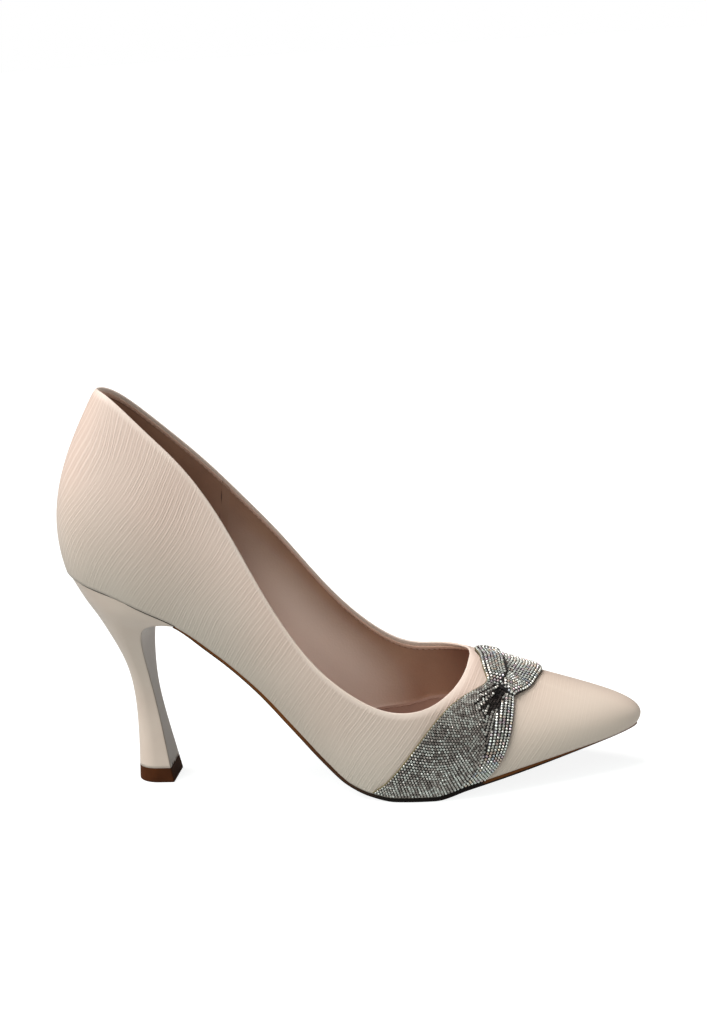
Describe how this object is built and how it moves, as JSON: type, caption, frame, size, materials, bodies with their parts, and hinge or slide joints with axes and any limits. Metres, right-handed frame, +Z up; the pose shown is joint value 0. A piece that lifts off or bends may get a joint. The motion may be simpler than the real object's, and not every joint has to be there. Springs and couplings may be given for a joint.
{
  "type": "high heel pump shoe",
  "caption": "Pointed high heel pump with a low cut throat, a flared stiletto heel and a gathered crystal band knotted over the vamp.",
  "frame": {"origin": "on the floor under the middle of the shoe's box", "axes": "+X towards the toe, +Y towards the inner (medial) side, +Z up"},
  "size_m": [0.2254, 0.0762, 0.16],
  "materials": {
    "upper": "satin beige with a fine wavy emboss",
    "outsole": "smooth dark brown",
    "insole": "matt pink brown lining",
    "heel": "satin beige",
    "top_lift": "matt dark brown",
    "crystal": "clear cut stones on a dark mesh"
  },
  "bodies": {
    "root": {"upper": "upper", "outsole": "outsole", "insole": "insole", "heel": "heel", "top_lift": "top_lift", "crystal_band": "crystal", "knot": "crystal"}
  },
  "joints": []
}
